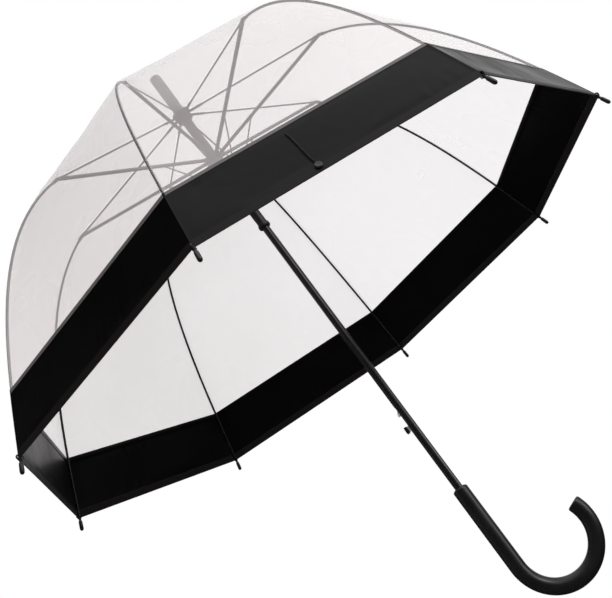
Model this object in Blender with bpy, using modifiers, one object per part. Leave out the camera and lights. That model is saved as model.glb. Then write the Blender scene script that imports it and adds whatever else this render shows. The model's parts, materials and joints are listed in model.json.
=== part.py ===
"""Automatic dome umbrella with a clear canopy, a black border and a crook handle.

Frame: metres, +Z along the shaft towards the ferrule, the crook in the X-Z plane with its hook towards +X,
and the origin on the shaft's axis inside the straight grip. The umbrella is open.

The frame has eight ribs. Each rib hinges on the crown and has a second joint where its stretcher pins.
The stretchers run to the upper runner, and thin stays run from the stretchers to the lower runner.
Ribs and stretchers are equally long between pivots, so they fold by equal and opposite angles.
"""

import math

import bmesh
import bpy
from mathutils import Euler, Matrix, Vector

# Driving dimensions ------------------------------------------------------------------------------------

RIBS = 8
SECTOR = 2 * math.pi / RIBS
FIRST_RIB = math.radians(36.2)  # azimuth of rib 1, from the crook's plane

RIM_RADIUS = 0.415  # at a rib, on the rib's centre line
RIM_Z = 0.300
JOINT_RADIUS = 0.210  # where a stretcher meets its rib
CROWN_PIVOT_Z = 0.647
RUNNER_PIVOT_Z = 0.568
JOINT_Z = (CROWN_PIVOT_Z + RUNNER_PIVOT_Z) / 2
STAY_PIVOT_Z = 0.515
PIVOT_RADIUS = 0.0095
STAY_SHARE = 0.32  # how far along its stretcher a stay is pinned, from the runner

RIB_START_SLOPE = math.radians(21)  # the outer rib's slope at its joint and at the rim
RIB_END_SLOPE = math.radians(70)
RIB_HANDLE = 0.120

SHAFT_RADIUS = 0.0050
SHAFT_BORE = 0.0043
SHAFT_BOTTOM = -0.040
SHAFT_TOP = 0.668
FIT_GAP = 0.0003  # between a bore and what goes through it, and between touching pieces
SLIDING_BORE = SHAFT_RADIUS + FIT_GAP

GRIP_RADIUS = 0.0094
GRIP_TOP = 0.0435
CROOK_START_Z = -0.0605
CROOK_RADIUS = 0.0477
CROOK_SWEEP = math.radians(200)

FILM_THICKNESS = 0.0006
FILM_OFFSET = 0.0031  # from a rib's centre line to the film's inner face
SEAM_GAP = 0.0003

# Lateral layers of a rib joint: half widths, from the middle outwards
TONGUE = 0.0005
LUG_IN, LUG_OUT = 0.00075, 0.00125
CHEEK_IN, CHEEK_OUT = 0.0015, 0.0020
STAY_HALF = 0.0008

ROUND = 24  # sides of the turned pieces


# Small helpers -----------------------------------------------------------------------------------------


def clear_scene():
    for old in list(bpy.data.objects):
        bpy.data.objects.remove(old, do_unlink=True)


def new_material(name, colour, roughness, metallic=0.0, alpha=1.0):
    made = bpy.data.materials.new(name)
    made.use_nodes = True
    shader = made.node_tree.nodes["Principled BSDF"]
    shader.inputs["Base Color"].default_value = (*colour, 1.0)
    shader.inputs["Roughness"].default_value = roughness
    shader.inputs["Metallic"].default_value = metallic
    shader.inputs["Alpha"].default_value = alpha
    return made


def evaluated_mesh(obj, name):
    """The mesh with its modifiers and placement applied, and its seams welded. It removes the object."""
    bpy.context.view_layer.update()
    graph = bpy.context.evaluated_depsgraph_get()
    mesh = bpy.data.meshes.new_from_object(obj.evaluated_get(graph))
    mesh.transform(obj.matrix_world)
    mesh.name = name
    work = bmesh.new()
    work.from_mesh(mesh)
    bmesh.ops.remove_doubles(work, verts=work.verts, dist=1e-6)
    bmesh.ops.recalc_face_normals(work, faces=work.faces)
    work.to_mesh(mesh)
    work.free()
    bpy.data.objects.remove(obj, do_unlink=True)
    return mesh


def temporary(data, name="temporary"):
    obj = bpy.data.objects.new(name, data)
    bpy.context.scene.collection.objects.link(obj)
    return obj


def combined(base, add=(), cut=()):
    """One mesh: the base, with the meshes in add joined to it and those in cut taken away."""
    obj = temporary(base)
    tools = []
    for operation, meshes in (("UNION", add), ("DIFFERENCE", cut)):
        for mesh in meshes:
            tool = temporary(mesh)
            tool.hide_render = True
            tool.display_type = "WIRE"
            tools.append(tool)
            step = obj.modifiers.new(operation.lower(), "BOOLEAN")
            step.operation = operation
            step.object = tool
    mesh = evaluated_mesh(obj, base.name)
    for tool in tools:
        bpy.data.objects.remove(tool, do_unlink=True)
    return mesh


def turned(name, outline, hollow=True):
    """A turned mesh from (radius, z) points that run down the outer side. A hollow one closes up its bore."""
    mesh = bpy.data.meshes.new(name)
    edges = [(i, i + 1) for i in range(len(outline) - 1)]
    if hollow:
        edges.append((len(outline) - 1, 0))
    mesh.from_pydata([(r, 0.0, z) for r, z in outline], edges, [])
    obj = temporary(mesh)
    screw = obj.modifiers.new("turn", "SCREW")
    screw.steps = ROUND
    screw.render_steps = ROUND
    screw.use_merge_vertices = True
    screw.merge_threshold = 1e-5
    return evaluated_mesh(obj, name)


def block(name, low, high):
    """A box mesh between two corners."""
    mesh = bpy.data.meshes.new(name)
    work = bmesh.new()
    size = Vector(high) - Vector(low)
    centre = (Vector(high) + Vector(low)) / 2
    bmesh.ops.create_cube(work, size=1.0, matrix=Matrix.Translation(centre) @ Matrix.Diagonal((*size, 1.0)))
    work.to_mesh(mesh)
    work.free()
    return mesh


def softened(mesh, width, segments=2):
    """The mesh with its sharp edges rounded."""
    obj = temporary(mesh)
    bevel = obj.modifiers.new("round", "BEVEL")
    bevel.width = width
    bevel.segments = segments
    return evaluated_mesh(obj, mesh.name)


def plate(name, outline, low_y, high_y):
    """A flat plate in the X-Z plane from a closed outline of (x, z) points, between two values of y."""
    curve = bpy.data.curves.new(name, "CURVE")
    curve.dimensions = "2D"
    curve.fill_mode = "BOTH"
    curve.extrude = (high_y - low_y) / 2
    spline = curve.splines.new("POLY")
    spline.points.add(len(outline) - 1)
    for point, (x, z) in zip(spline.points, outline):
        point.co = (x, z, 0.0, 1.0)
    spline.use_cyclic_u = True
    obj = temporary(curve)
    obj.rotation_euler = Euler((math.pi / 2, 0, 0))
    obj.location.y = (low_y + high_y) / 2
    return evaluated_mesh(obj, name)


def stadium(start, end, radius, steps=4):
    """Outline of a bar with round ends between two (x, z) points."""
    heading = math.atan2(end[1] - start[1], end[0] - start[0])
    points = []
    for (x, z), turn in ((end, heading), (start, heading + math.pi)):
        for i in range(2 * steps + 1):
            a = turn - math.pi / 2 + math.pi * i / (2 * steps)
            points.append((x + radius * math.cos(a), z + radius * math.sin(a)))
    return points


def rod(name, points, radius, factors=None, resolution=1):
    """A round bar along 3D points, with flat ends. Factors scale its radius point by point."""
    curve = bpy.data.curves.new(name, "CURVE")
    curve.dimensions = "3D"
    curve.bevel_depth = radius
    curve.bevel_resolution = resolution
    curve.use_fill_caps = True
    spline = curve.splines.new("POLY")
    spline.points.add(len(points) - 1)
    for i, (point, place) in enumerate(zip(spline.points, points)):
        point.co = (*place, 1.0)
        point.radius = factors[i] if factors else 1.0
    return evaluated_mesh(temporary(curve), name)


def placed(collection, name, mesh, material, location=(0, 0, 0), azimuth=0.0):
    """A named object of the model, shaded smooth with its sharp edges kept."""
    if not mesh.materials:
        mesh.materials.append(material)
        mesh.shade_smooth()
        mesh.set_sharp_from_angle(angle=math.radians(35))
    obj = bpy.data.objects.new(name, mesh)
    obj.location = location
    obj.rotation_euler = Euler((0, 0, azimuth))
    collection.objects.link(obj)
    return obj


def around(collection, family, mesh, material, radius, z, first=FIRST_RIB):
    """Eight copies of a mesh around the shaft, each at (radius, z) with its own +X away from the shaft."""
    for i in range(RIBS):
        azimuth = first + i * SECTOR
        location = (radius * math.cos(azimuth), radius * math.sin(azimuth), z)
        placed(collection, f"{family}_{i + 1}", mesh, material, location, azimuth)


def shifted(points, x, z):
    """The (x, z) points seen from a pivot."""
    return [(px - x, pz - z) for px, pz in points]


# The rib's line ----------------------------------------------------------------------------------------


def outer_rib(t):
    """Point (radius, z) on the outer rib's centre line, from its joint (t = 0) to the rim (t = 1)."""
    start = Vector((JOINT_RADIUS, JOINT_Z))
    end = Vector((RIM_RADIUS, RIM_Z))
    first = start + RIB_HANDLE * Vector((math.cos(RIB_START_SLOPE), -math.sin(RIB_START_SLOPE)))
    last = end - RIB_HANDLE * Vector((math.cos(RIB_END_SLOPE), -math.sin(RIB_END_SLOPE)))
    s = 1 - t
    return s**3 * start + 3 * s * s * t * first + 3 * s * t * t * last + t**3 * end


def outer_slope(t):
    """Slope below the horizontal of the outer rib at t."""
    step = 1e-4
    run = outer_rib(min(t + step, 1.0)) - outer_rib(max(t - step, 0.0))
    return math.atan2(-run.y, run.x)


def offset_point(point, slope, distance):
    """The point moved square to a line of that slope, away from the umbrella's inside."""
    return Vector((point[0] + distance * math.sin(slope), point[1] + distance * math.cos(slope)))


INNER_SLOPE = math.atan2(CROWN_PIVOT_Z - JOINT_Z, JOINT_RADIUS - PIVOT_RADIUS)


def film_joint(distance):
    """The film's line over the rib joint, at the mean of the two ribs' slopes."""
    slope = (INNER_SLOPE + RIB_START_SLOPE) / 2
    return offset_point((JOINT_RADIUS, JOINT_Z), slope, distance)


# Shaft, handle and top ---------------------------------------------------------------------------------

LATCH_SLOT = ((-0.0060, -0.0020, 0.1270), (-0.0035, 0.0020, 0.1605))


def shaft_mesh():
    tube = turned(
        "shaft_tube",
        [
            (SHAFT_RADIUS, SHAFT_TOP),
            (SHAFT_RADIUS, SHAFT_BOTTOM),
            (SHAFT_BORE, SHAFT_BOTTOM),
            (SHAFT_BORE, SHAFT_TOP),
        ],
    )
    return combined(tube, cut=[block("latch_slot", *LATCH_SLOT)])


def crook_mesh(points_on_bend=18):
    """The handle: a straight grip, bored for the shaft, that bends into a hook."""
    edge = 0.0014
    line = [(0, 0, GRIP_TOP), (0, 0, GRIP_TOP - 0.3 * edge), (0, 0, GRIP_TOP - edge), (0, 0, 0.0)]
    factors = [0.88, 0.965, 1.0, 1.0]
    for i in range(points_on_bend + 1):
        a = CROOK_SWEEP * i / points_on_bend
        line.append((CROOK_RADIUS * (1 - math.cos(a)), 0, CROOK_START_Z - CROOK_RADIUS * math.sin(a)))
        factors.append(1.0)
    tip = Vector(line[-1])
    along = Vector((math.sin(CROOK_SWEEP), 0, -math.cos(CROOK_SWEEP)))
    for reach, factor in ((0.7 * edge, 0.965), (edge, 0.88)):
        line.append(tuple(tip + reach * along))
        factors.append(factor)
    body = rod("crook_handle", line, GRIP_RADIUS, factors, resolution=6)
    depth = SHAFT_BOTTOM - FIT_GAP
    above = GRIP_TOP + 0.01
    bore_outline = [(0, above), (SLIDING_BORE, above), (SLIDING_BORE, depth), (0, depth)]
    return combined(body, cut=[turned("bore", bore_outline, hollow=False)])


FERRULE_BASE = 0.6531
FERRULE_TOP = 0.7225


def ferrule_mesh():
    """The plastic end piece: a foot on the canopy cap, a slightly swelling barrel and a flat end."""
    bore_top = SHAFT_TOP + FIT_GAP
    outline = [
        (0, FERRULE_TOP),
        (0.0058, FERRULE_TOP),
        (0.0068, FERRULE_TOP - 0.0010),
        (0.0074, FERRULE_TOP - 0.0030),
        (0.0077, FERRULE_TOP - 0.0200),
        (0.0074, FERRULE_BASE + 0.0080),
        (0.0078, FERRULE_BASE + 0.0035),
        (0.0092, FERRULE_BASE + 0.0020),
        (0.0092, FERRULE_BASE),
        (SLIDING_BORE, FERRULE_BASE),
        (SLIDING_BORE, bore_top),
        (0, bore_top),
    ]
    return turned("ferrule", outline, hollow=False)


def cap_mesh():
    """The disc that clamps the middle of the film under the ferrule."""
    low, high = 0.6516, 0.6528
    outline = [
        (0.0120, high),
        (0.0130, high - 0.0005),
        (0.0130, low),
        (SLIDING_BORE, low),
        (SLIDING_BORE, high),
    ]
    return turned("canopy_cap", outline)


def radial_slots(half_width, inner, low, high):
    """Eight slots around the shaft in one cutting mesh, one at each rib."""
    mesh = bpy.data.meshes.new("slots")
    work = bmesh.new()
    size = Vector((0.020, 2 * half_width, high - low))
    for i in range(RIBS):
        turn = Matrix.Rotation(FIRST_RIB + i * SECTOR, 4, "Z")
        centre = Matrix.Translation((inner + size.x / 2, 0, (low + high) / 2))
        bmesh.ops.create_cube(work, size=1.0, matrix=turn @ centre @ Matrix.Diagonal((*size, 1.0)))
    work.to_mesh(mesh)
    work.free()
    return mesh


def crown_mesh():
    """The top notch: a ring with a slot for each rib."""
    low, high, radius = 0.6390, 0.6490, 0.0112
    outline = [
        (0.0100, high),
        (radius, high - 0.0012),
        (radius, low + 0.0008),
        (radius - 0.0008, low),
        (SLIDING_BORE, low),
        (SLIDING_BORE, high),
    ]
    slots = radial_slots(0.0013, 0.0071, low - 0.001, high + 0.001)
    return combined(turned("crown", outline), cut=[slots])


# Runners, spring and latch -----------------------------------------------------------------------------


def upper_runner_mesh():
    """A neck that stops on the crown, a slotted ring for the stretchers and a skirt below."""
    ring_low, ring_high, ring = 0.5625, 0.5735, 0.0112
    neck_top, skirt_low = 0.6385, 0.5560
    outline = [
        (0.0060, neck_top),
        (0.0065, neck_top - 0.0006),
        (0.0065, ring_high + 0.0010),
        (ring - 0.0006, ring_high),
        (ring, ring_high - 0.0006),
        (ring, ring_low),
        (0.0085, ring_low - 0.0004),
        (0.0085, skirt_low + 0.0005),
        (0.0080, skirt_low),
        (SLIDING_BORE, skirt_low),
        (SLIDING_BORE, neck_top),
    ]
    slots = radial_slots(0.0023, 0.0072, ring_low - 0.0006, ring_high + 0.0015)
    return combined(turned("upper_runner", outline), cut=[slots])


KEYWAY_TOP = 0.4605


def lower_runner_mesh():
    """A slotted ring for the stays on a long sleeve that ends in a flange, with a keyway for the latch."""
    ring_low, ring_high, ring = 0.5095, 0.5200, 0.0112
    flange_low, flange_high, flange, sleeve = 0.4445, 0.4500, 0.0078, 0.00665
    outline = [
        (0.0090, ring_high),
        (ring, ring_high - 0.0015),
        (ring, ring_low + 0.0006),
        (ring - 0.0006, ring_low),
        (sleeve, ring_low - 0.0010),
        (sleeve, flange_high + 0.0004),
        (flange, flange_high),
        (flange, flange_low + 0.0005),
        (flange - 0.0005, flange_low),
        (SLIDING_BORE, flange_low),
        (SLIDING_BORE, ring_high),
    ]
    slots = radial_slots(0.0012, 0.0072, ring_low - 0.0001, ring_high + 0.001)
    keyway = block("keyway", (-0.0100, -0.0019, flange_low - 0.001), (-0.0045, 0.0019, KEYWAY_TOP))
    return combined(turned("lower_runner", outline), cut=[slots, keyway])


SPRING_LOW, SPRING_HIGH = 0.5204, 0.5556


def spring_mesh(turns=6, wire=0.0006, coil=0.0067, points_per_turn=12):
    """The opening spring between the runners, with a closed turn at each end."""
    line = []
    count = (turns + 2) * points_per_turn
    low, high = SPRING_LOW + wire, SPRING_HIGH - wire
    closed = 2.2 * wire
    for i in range(count + 1):
        turn = i / points_per_turn
        if turn < 1:
            z = low + closed * turn
        elif turn > turns + 1:
            z = high - closed * (turns + 2 - turn)
        else:
            z = low + closed + (high - low - 2 * closed) * (turn - 1) / turns
        a = 2 * math.pi * turn
        line.append((coil * math.cos(a), coil * math.sin(a), z))
    return rod("opening_spring", line, wire, resolution=0)


LATCH_PIVOT = (-0.0032, 0.0, 0.0970)


def latch_mesh():
    """The sprung leaf inside the shaft, with a ramped catch and the button's stem, seen from its pivot."""
    inside, face = -0.0029, -0.0036
    catch_top, catch_low, catch_out = 0.1585, 0.1488, -0.0074
    stem_high, stem_low, stem_out = 0.1330, 0.1290, -0.0074
    bottom = 0.0950
    outline = [
        (inside, bottom),
        (inside, catch_top),
        (face, catch_top),
        (catch_out, catch_low + 0.0014),
        (catch_out, catch_low),
        (face, catch_low),
        (face, stem_high),
        (stem_out, stem_high),
        (stem_out, stem_low),
        (face, stem_low),
        (face, bottom),
    ]
    return plate("latch_leaf", shifted(outline, LATCH_PIVOT[0], LATCH_PIVOT[2]), -0.0014, 0.0014)


def button_mesh():
    """The black cap on the latch's stem, seen from the latch's pivot."""
    low = Vector((-0.0108, -0.00275, 0.1268)) - Vector(LATCH_PIVOT)
    high = Vector((-0.0068, 0.00275, 0.1352)) - Vector(LATCH_PIVOT)
    cap = softened(block("release_button", low, high), 0.0006)
    pocket_low = Vector((-0.0077, -0.0017, 0.1287)) - Vector(LATCH_PIVOT)
    pocket_high = Vector((-0.0060, 0.0017, 0.1333)) - Vector(LATCH_PIVOT)
    return combined(cap, cut=[block("pocket", pocket_low, pocket_high)])


# Ribs, stretchers and stays, each seen from its own pivot in the rib's plane ---------------------------


def bar_point(start, end, distance):
    """A point at a distance from start towards end."""
    start, end = Vector(start), Vector(end)
    return start + distance * (end - start).normalized()


def rib_inner_mesh():
    """From the crown's pivot to the rib joint: an eye, a metal sleeve, the rod and a thin tongue."""
    start = (0.0, 0.0)
    end = (JOINT_RADIUS - PIVOT_RADIUS, JOINT_Z - CROWN_PIVOT_Z)
    eye = plate("rib_inner", stadium(start, bar_point(start, end, 0.014), 0.0016), -0.0010, 0.0010)
    tongue = plate("tongue", stadium(bar_point(end, start, 0.008), end, 0.0016), -TONGUE, TONGUE)
    stations = (0.0105, 0.0220, 0.0225)
    far = (Vector(end)).length - 0.0040
    line = [bar_point(start, end, d) for d in (*stations, far)]
    bar = rod("bar", [(p.x, 0, p.y) for p in line], 0.0012, [1.5, 1.5, 1.0, 1.0])
    return combined(eye, add=[bar, tongue])


def rib_outer_mesh(stations=14):
    """From the rib joint to the rim: a slotted clip, the curved rod and the tip below the hem."""
    clip_end = bar_point((0, 0), outer_rib(0.05) - outer_rib(0), 0.0115)
    clip = plate("rib_outer", stadium((0, 0), clip_end, 0.0019), -LUG_OUT, LUG_OUT)
    slot = block("slot", (-0.0040, -LUG_IN, -0.0040), (0.0036, LUG_IN, 0.0040))
    line = [outer_rib(0.02 + 0.98 * i / (stations - 1)) - outer_rib(0) for i in range(stations)]
    factors = [1.0] * stations
    end_heading = Vector((math.cos(RIB_END_SLOPE), -math.sin(RIB_END_SLOPE)))
    for reach, factor in ((0.0020, 1.0), (0.0035, 1.9), (0.0140, 2.1), (0.0155, 1.7), (0.0160, 1.0)):
        line.append(line[stations - 1] + reach * end_heading)
        factors.append(factor)
    bar = rod("bar", [(p.x, 0, p.y) for p in line], 0.0012, factors)
    return combined(clip, add=[bar], cut=[slot])


def stretcher_mesh():
    """A channel, open downwards, from the upper runner to the rib joint. Its two sides straddle the rib."""
    reach = (JOINT_RADIUS - PIVOT_RADIUS, JOINT_Z - RUNNER_PIVOT_Z)
    length = math.hypot(*reach)
    low, high, eye = -0.0015, 0.0017, 0.0016
    sides = stadium((0, 0), (length, 0), eye)
    body = plate("stretcher", sides, -CHEEK_OUT, CHEEK_OUT)
    upper = block("upper", (0.0020, -CHEEK_OUT, low), (length - 0.0020, CHEEK_OUT, high))
    channel = block("channel", (-0.01, -CHEEK_IN, -0.01), (length + 0.01, CHEEK_IN, high - 0.0006))
    web_end = block("web_end", (length - 0.0100, -CHEEK_IN, 0), (length + 0.01, CHEEK_IN, 0.01))
    web_start = block("web_start", (-0.01, -CHEEK_IN, 0), (0.0032, CHEEK_IN, 0.01))
    return combined(body, add=[upper], cut=[channel, web_end, web_start])


def runner_stay_reach():
    """From a stay's pin on its stretcher down to the lower runner's pivot."""
    pin = Vector((JOINT_RADIUS - PIVOT_RADIUS, JOINT_Z - RUNNER_PIVOT_Z)) * STAY_SHARE
    return Vector((0, STAY_PIVOT_Z - RUNNER_PIVOT_Z)) - pin


def stay_mesh():
    """A thin bar with round ends, seen from its pin on the stretcher."""
    return plate("stay", stadium((0, 0), tuple(runner_stay_reach()), 0.0009), -STAY_HALF, STAY_HALF)


# Canopy ------------------------------------------------------------------------------------------------


def gore_strip(name, line, pivot):
    """A panel between two ribs: (radius, z) points of its seams, flat across, thickened outwards.

    It is seen from its pivot, with +X away from the shaft along the panel's middle.
    """
    half = SECTOR / 2
    verts, faces = [], []
    for radius, z in line:
        across = radius * math.sin(half) - SEAM_GAP / math.cos(half)
        for side in (-1, 1):
            verts.append((radius * math.cos(half) - pivot[0], side * across, z - pivot[1]))
    for i in range(len(line) - 1):
        a = 2 * i
        faces.append((a, a + 2, a + 3, a + 1))
    mesh = bpy.data.meshes.new(name)
    mesh.from_pydata(verts, [], faces)
    obj = temporary(mesh)
    thicken = obj.modifiers.new("thickness", "SOLIDIFY")
    thicken.thickness = FILM_THICKNESS
    thicken.offset = 1.0
    thicken.use_even_offset = True
    return evaluated_mesh(obj, name)


FILM_INNER_RADIUS = 0.0088


def top_line():
    """Seam of the upper panels, from the cap to the rib joints."""
    crown = offset_point((PIVOT_RADIUS, CROWN_PIVOT_Z), INNER_SLOPE, FILM_OFFSET)
    joint = film_joint(FILM_OFFSET)
    slope = (crown.y - joint.y) / (joint.x - crown.x)
    inner = Vector((FILM_INNER_RADIUS, crown.y + slope * (crown.x - FILM_INNER_RADIUS)))
    last = joint + (inner - joint).normalized() * SEAM_GAP
    return [inner, last]


def side_line(stations=11):
    """Seam of the side panels, from the rib joints to the rim."""
    shares = [i / stations for i in range(1, stations + 1)]
    points = [offset_point(outer_rib(t), outer_slope(t), FILM_OFFSET) for t in shares]
    joint = film_joint(FILM_OFFSET)
    return [joint + (points[0] - joint).normalized() * SEAM_GAP, *points]


def hinge_of_top():
    """Pivot (radius, z) of an upper panel, on its middle line at the cap."""
    inner = top_line()[0]
    return (inner.x * math.cos(SECTOR / 2), inner.y)


def hinge_of_side():
    """Pivot (radius, z) of a side panel, on its middle line over the rib joints."""
    joint = film_joint(FILM_OFFSET)
    return (joint.x * math.cos(SECTOR / 2), joint.y)


STRAP_GORE = 5  # counted from 0, as the ribs are
STRAP_SIDE = -0.024  # from the gore's middle, towards its first rib


def on_middle(t, distance):
    """A point (radius, z) over the middle line of a side panel."""
    seam = offset_point(outer_rib(t), outer_slope(t), FILM_OFFSET)
    middle = Vector((seam.x * math.cos(SECTOR / 2), seam.y))
    return offset_point(middle, outer_slope(t), distance)


def strap_mesh():
    """The closing strap: a narrow band that lies on the border, from near its top to the stud."""
    lift = FILM_THICKNESS + 2 * FIT_GAP
    thick = 0.0009
    shares = (0.828, 0.909, 0.966)
    outline = [on_middle(t, lift) for t in shares]
    outline += [on_middle(t, lift + thick) for t in reversed(shares)]
    flat = [tuple(p) for p in shifted(outline, *hinge_of_side())]
    return plate("closing_strap", flat, STRAP_SIDE - 0.0015, STRAP_SIDE + 0.0015)


def stud_mesh():
    """The strap's round button, on the hem."""
    t = 0.979
    centre = on_middle(t, FILM_THICKNESS + 2 * FIT_GAP)
    pivot = hinge_of_side()
    outline = [(0, 0.0024), (0.0024, 0.0022), (0.0036, 0.0014), (0.0040, 0.0006), (0.0040, 0), (0, 0)]
    mesh = turned("strap_stud", outline, hollow=False)
    tilt = Matrix.Rotation(outer_slope(t), 4, "Y")
    place = Matrix.Translation((centre.x - pivot[0], STRAP_SIDE, centre.y - pivot[1]))
    mesh.transform(place @ tilt)
    return mesh


# The model ---------------------------------------------------------------------------------------------


def build():
    clear_scene()
    collection = bpy.data.collections.new("dome_umbrella")
    bpy.context.scene.collection.children.link(collection)

    black_metal = new_material("black_lacquered_steel", (0.02, 0.02, 0.022), 0.35, 0.4)
    black_plastic = new_material("black_plastic", (0.018, 0.018, 0.019), 0.32)
    silver = new_material("bright_steel", (0.62, 0.62, 0.63), 0.28, 1.0)
    film = new_material("clear_film", (0.93, 0.93, 0.94), 0.12, 0.0, 0.4)
    black_film = new_material("black_film", (0.012, 0.011, 0.011), 0.4)

    placed(collection, "shaft_tube", shaft_mesh(), black_metal)
    placed(collection, "crook_handle", crook_mesh(), black_plastic)
    placed(collection, "ferrule", ferrule_mesh(), black_plastic)
    placed(collection, "canopy_cap", cap_mesh(), black_plastic)
    placed(collection, "crown", crown_mesh(), black_plastic)
    placed(collection, "upper_runner", upper_runner_mesh(), black_plastic)
    placed(collection, "lower_runner", lower_runner_mesh(), black_plastic)
    placed(collection, "opening_spring", spring_mesh(), silver)
    placed(collection, "latch_leaf", latch_mesh(), silver, LATCH_PIVOT)
    placed(collection, "release_button", button_mesh(), black_plastic, LATCH_PIVOT)

    around(collection, "rib_inner", rib_inner_mesh(), black_metal, PIVOT_RADIUS, CROWN_PIVOT_Z)
    around(collection, "rib_outer", rib_outer_mesh(), black_metal, JOINT_RADIUS, JOINT_Z)
    lean = math.atan2(JOINT_Z - RUNNER_PIVOT_Z, JOINT_RADIUS - PIVOT_RADIUS)
    stretcher = stretcher_mesh()
    stretcher.transform(Matrix.Rotation(-lean, 4, "Y"))
    around(collection, "stretcher", stretcher, black_metal, PIVOT_RADIUS, RUNNER_PIVOT_Z)
    pin_radius = PIVOT_RADIUS + STAY_SHARE * (JOINT_RADIUS - PIVOT_RADIUS)
    pin_z = RUNNER_PIVOT_Z + STAY_SHARE * (JOINT_Z - RUNNER_PIVOT_Z)
    around(collection, "stay", stay_mesh(), black_metal, pin_radius, pin_z)

    middle = FIRST_RIB + SECTOR / 2
    top_hinge = hinge_of_top()
    side_hinge = hinge_of_side()
    top_panel = gore_strip("canopy_top", top_line(), top_hinge)
    side_panel = gore_strip("canopy_side", side_line(), side_hinge)
    around(collection, "canopy_top", top_panel, film, *top_hinge, middle)
    around(collection, "canopy_side", side_panel, film, *side_hinge, middle)

    azimuth = middle + STRAP_GORE * SECTOR
    radius, z = side_hinge
    on_gore = (radius * math.cos(azimuth), radius * math.sin(azimuth), z)
    placed(collection, "closing_strap", strap_mesh(), black_film, on_gore, azimuth)
    placed(collection, "strap_stud", stud_mesh(), black_plastic, on_gore, azimuth)


build()
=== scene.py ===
"""The looks of a dome umbrella: clear film canopy with a black border, black frame and crook handle.

Everything is in metres, in the CAD part's frame: +Z along the shaft towards the ferrule, +X the way the
crook opens. Pieces that repeat around the shaft are modelled at azimuth 0, in the X-Z plane, and turned.
"""

import json
import math

import bpy
from mathutils import Matrix, Vector, noise


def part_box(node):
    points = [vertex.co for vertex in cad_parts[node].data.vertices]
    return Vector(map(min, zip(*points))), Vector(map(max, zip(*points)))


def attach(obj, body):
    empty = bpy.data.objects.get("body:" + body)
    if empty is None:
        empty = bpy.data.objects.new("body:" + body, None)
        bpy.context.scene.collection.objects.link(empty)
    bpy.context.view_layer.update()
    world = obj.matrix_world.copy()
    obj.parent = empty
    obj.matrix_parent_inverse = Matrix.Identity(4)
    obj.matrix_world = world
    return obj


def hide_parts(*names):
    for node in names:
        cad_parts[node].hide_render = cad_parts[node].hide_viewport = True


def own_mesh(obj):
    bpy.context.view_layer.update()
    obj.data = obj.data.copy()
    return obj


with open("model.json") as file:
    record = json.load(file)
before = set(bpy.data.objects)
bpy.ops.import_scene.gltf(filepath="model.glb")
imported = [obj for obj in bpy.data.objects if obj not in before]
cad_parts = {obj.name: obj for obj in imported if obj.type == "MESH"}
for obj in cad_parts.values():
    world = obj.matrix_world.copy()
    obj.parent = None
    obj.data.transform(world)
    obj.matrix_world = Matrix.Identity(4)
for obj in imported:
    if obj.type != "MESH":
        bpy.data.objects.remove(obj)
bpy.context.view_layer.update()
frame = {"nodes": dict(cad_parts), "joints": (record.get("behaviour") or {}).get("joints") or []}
JOINTS = {joint["name"]: joint for joint in frame["joints"]}

# Places read from the frame -----------------------------------------------------------------------


def joint_place(name):
    """(radius, z) of a joint's pivot."""
    x, y, z = JOINTS[name]["pos_m"]
    return Vector((math.hypot(x, y), z))


RIBS = sum(name.startswith("rib_") and name.endswith("_fold") for name in JOINTS)
SECTOR = 2 * math.pi / RIBS
HALF = SECTOR / 2
first_pivot = JOINTS["rib_1_fold"]["pos_m"]
FIRST_RIB = math.atan2(first_pivot[1], first_pivot[0])

CROWN_PIVOT = joint_place("rib_1_fold")
RIB_JOINT = joint_place("rib_1_bend")
RUNNER_PIVOT = joint_place("upper_runner_pin")
STAY_PIN = joint_place("stay_1_pin")
STAY_END = Vector((CROWN_PIVOT.x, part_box("stay_1")[0].z + 0.0009))
CAP_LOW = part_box("canopy_cap")[0].z
FERRULE_LOW, FERRULE_HIGH = (corner.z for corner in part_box("ferrule"))
SPRING_LOW, SPRING_HIGH = (corner.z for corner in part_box("opening_spring"))
GRIP_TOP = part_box("crook_handle")[1].z
GRIP_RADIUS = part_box("crook_handle")[1].y
SHAFT_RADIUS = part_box("shaft_tube")[1].x

# The CAD's own numbers, repeated here
RIM = Vector((0.415, 0.300))  # (radius, z) of the rim, on a rib's centre line
RIB_START_SLOPE = math.radians(21)
RIB_END_SLOPE = math.radians(70)
RIB_HANDLE = 0.120
CROOK_START_Z = -0.0605
CROOK_RADIUS = 0.0477
CROOK_SWEEP = math.radians(200)

# The canopy
BORDER_START = 0.795  # where the black border begins on the outer rib, from 0 at its joint to 1 at the rim
WELD = 0.0045  # how far the clear film lies over the border
HEM = 0.0095
WELD_INSIDE = 0.008  # how far the black film lies over the clear film, inside
HEM_OVERHANG = 0.0001
SEAM = 0.0022  # half width of the seam over a rib, where the gores meet
STRAP_GORE = 6
STRAP_START, STRAP_END, STUD_PLACE = 0.828, 0.966, 0.979  # shares of the outer rib
STRAP_SIDE = -0.024  # from the gore's middle, towards its first rib

# Small helpers ------------------------------------------------------------------------------------


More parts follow.
